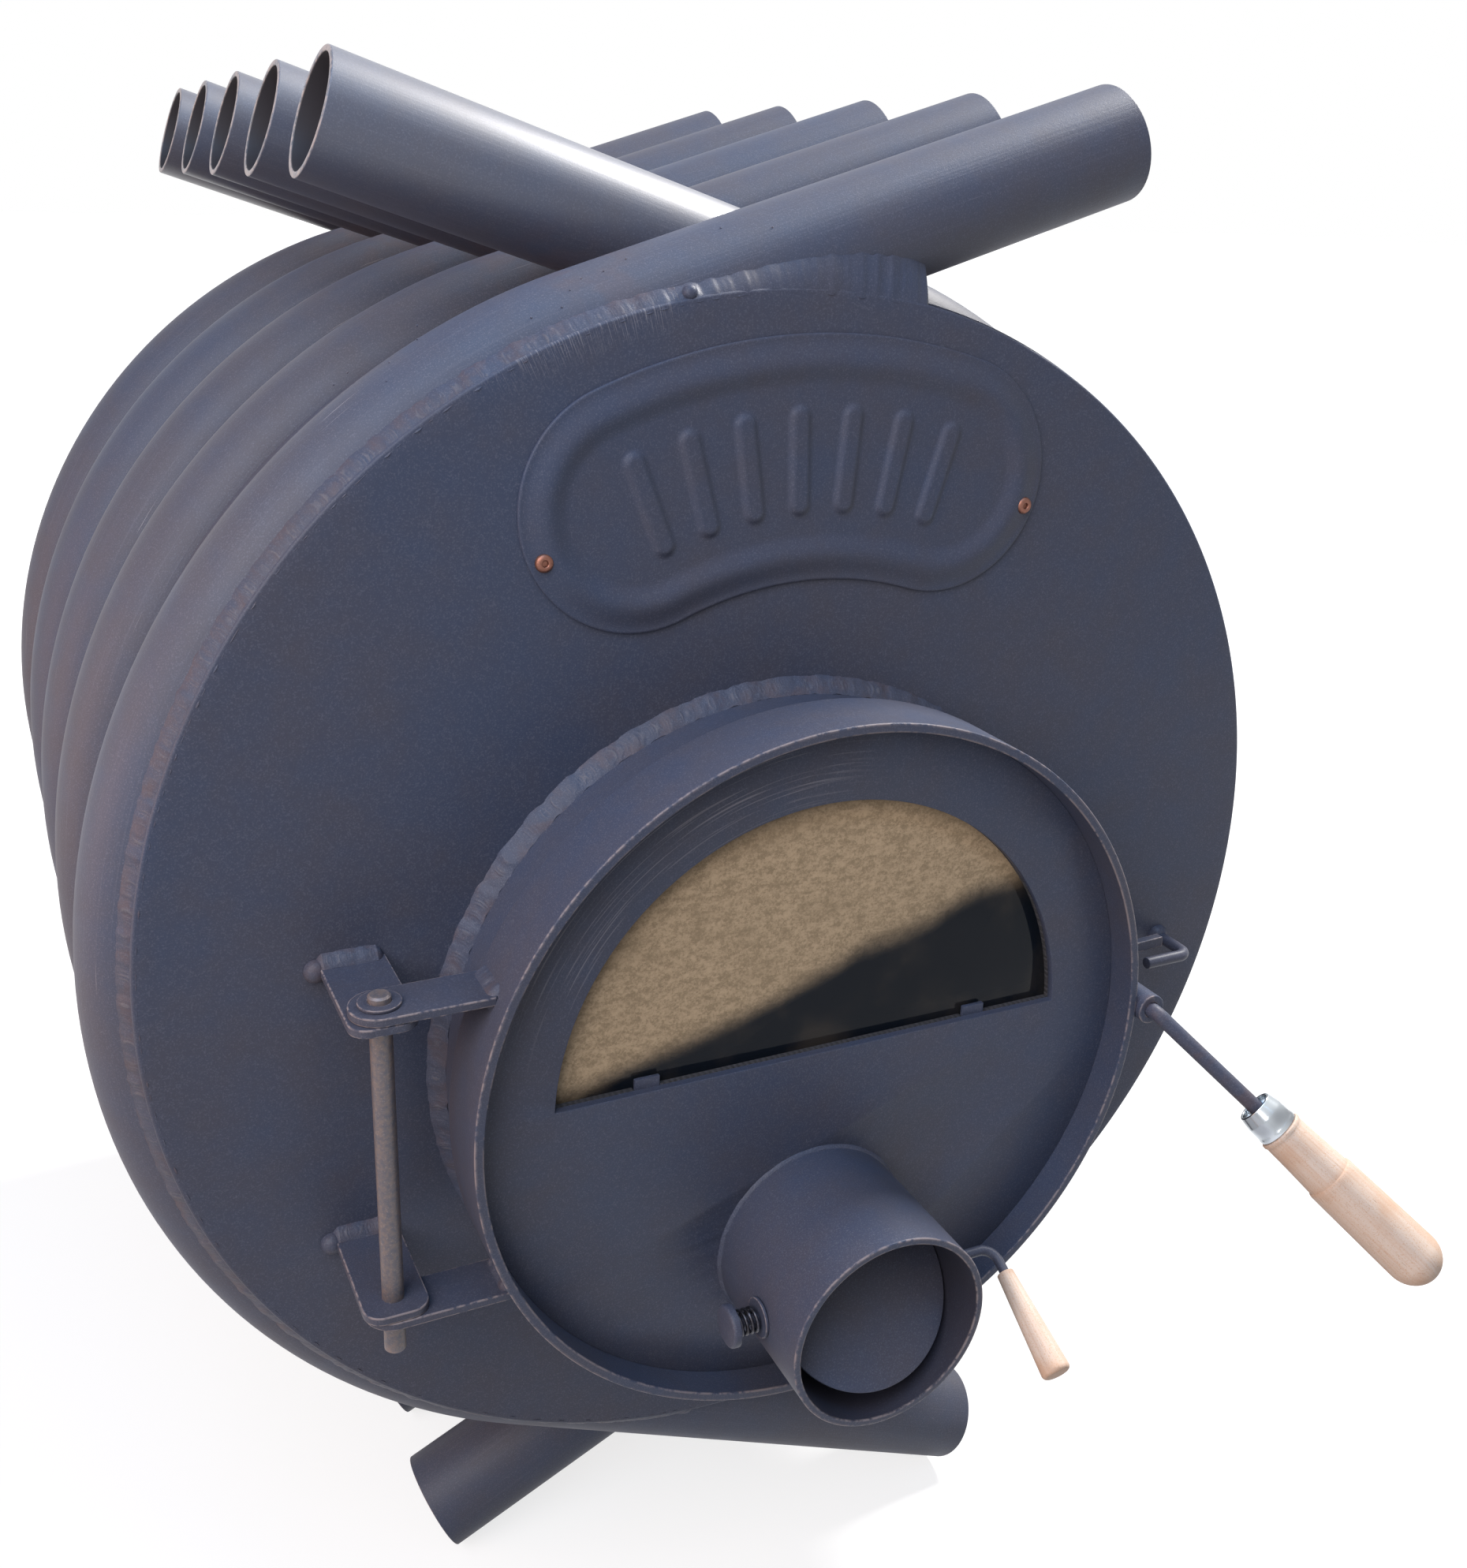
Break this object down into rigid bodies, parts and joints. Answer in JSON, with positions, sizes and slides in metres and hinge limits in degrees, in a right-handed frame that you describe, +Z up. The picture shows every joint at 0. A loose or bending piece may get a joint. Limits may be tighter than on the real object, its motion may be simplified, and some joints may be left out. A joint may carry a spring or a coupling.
{
  "type": "hot air stove",
  "caption": "Wood-burning hot air stove: a drum of bent steel air tubes with a round glazed door, a wood-handled latch, an air inlet damper and a rear flue collar.",
  "frame": {"origin": "on the floor, under the middle of the stove's overall length and width", "axes": "+X to the right as seen from the door, +Y from the door to the flue, +Z up"},
  "size_m": [0.6518, 0.891, 0.8284],
  "materials": {
    "stove_paint": "satin heat-resistant paint",
    "plain_steel": "plain mill steel",
    "pin_steel": "mottled, heat-tinted",
    "door_glass": "tinted reflective",
    "rope": "knitted glass rope",
    "gasket": "flat glass tape",
    "handle_wood": "raw, sanded",
    "zinc": "zinc plated",
    "copper": "dull copper",
    "spring_steel": "oiled"
  },
  "bodies": {
    "root": {"tube_left_1": "stove_paint", "tube_left_2": "stove_paint", "tube_left_3": "stove_paint", "tube_left_4": "stove_paint", "tube_left_5": "stove_paint", "tube_right_1": "stove_paint", "tube_right_2": "stove_paint", "tube_right_3": "stove_paint", "tube_right_4": "stove_paint", "tube_right_5": "stove_paint", "skin_strip_left_1": "stove_paint", "skin_strip_left_2": "stove_paint", "skin_strip_left_3": "stove_paint", "skin_strip_left_4": "stove_paint", "skin_strip_left_5": "stove_paint", "skin_strip_right_1": "stove_paint", "skin_strip_right_2": "stove_paint", "skin_strip_right_3": "stove_paint", "skin_strip_right_4": "stove_paint", "skin_strip_right_5": "stove_paint", "front_plate": "stove_paint", "rear_plate": "stove_paint", "door_neck": "stove_paint", "baffle_front": "plain_steel", "baffle_rear": "plain_steel", "baffle_rails": "plain_steel", "injector_tubes": "plain_steel", "flue_collar": "stove_paint", "hinge_bracket_top": "stove_paint", "hinge_bracket_bottom": "stove_paint", "hinge_pin": "pin_steel", "hinge_snap_ring": "pin_steel", "latch_catch": "stove_paint", "badge_plate": "stove_paint", "badge_rivets": "copper"},
    "door": {"door_ring": "stove_paint", "door_disc": "stove_paint", "door_inner_ring": "plain_steel", "door_rope_seal": "rope", "window_glass": "door_glass", "glass_gasket": "gasket", "glass_frame": "plain_steel", "glass_clips": "plain_steel", "glass_fasteners": "plain_steel", "air_tube": "stove_paint", "air_deflector": "plain_steel", "hinge_arm_top": "stove_paint", "hinge_arm_bottom": "stove_paint", "latch_sleeve": "stove_paint"},
    "latch": {"latch_rod": "stove_paint", "latch_finger": "stove_paint", "latch_ferrule": "zinc", "latch_grip": "handle_wood"},
    "air_damper": {"air_damper_disc": "stove_paint", "air_damper_axle": "stove_paint", "air_damper_washer": "stove_paint", "air_damper_spring": "spring_steel", "air_damper_knob": "handle_wood"},
    "flue_damper": {"flue_damper_disc": "stove_paint", "flue_damper_axle": "stove_paint"}
  },
  "joints": [
    {"name": "door_hinge", "type": "hinge", "parent": "root", "child": "door", "pos_m": [-0.2115, -0.29047, 0.3749], "axis": [0, 0, -1], "range_deg": [0, 120]},
    {"name": "latch_turn", "type": "hinge", "parent": "door", "child": "latch", "pos_m": [0.1875, -0.31847, 0.3749], "axis": [0, -1, 0], "range_deg": [-15, 90]},
    {"name": "air_damper_turn", "type": "hinge", "parent": "door", "child": "air_damper", "pos_m": [0, -0.34277, 0.2752], "axis": [1, 0, 0], "range_deg": [-52, 38]},
    {"name": "flue_damper_turn", "type": "hinge", "parent": "root", "child": "flue_damper", "pos_m": [0, 0.37953, 0.614], "axis": [1, 0, 0], "range_deg": [0, 90]}
  ]
}
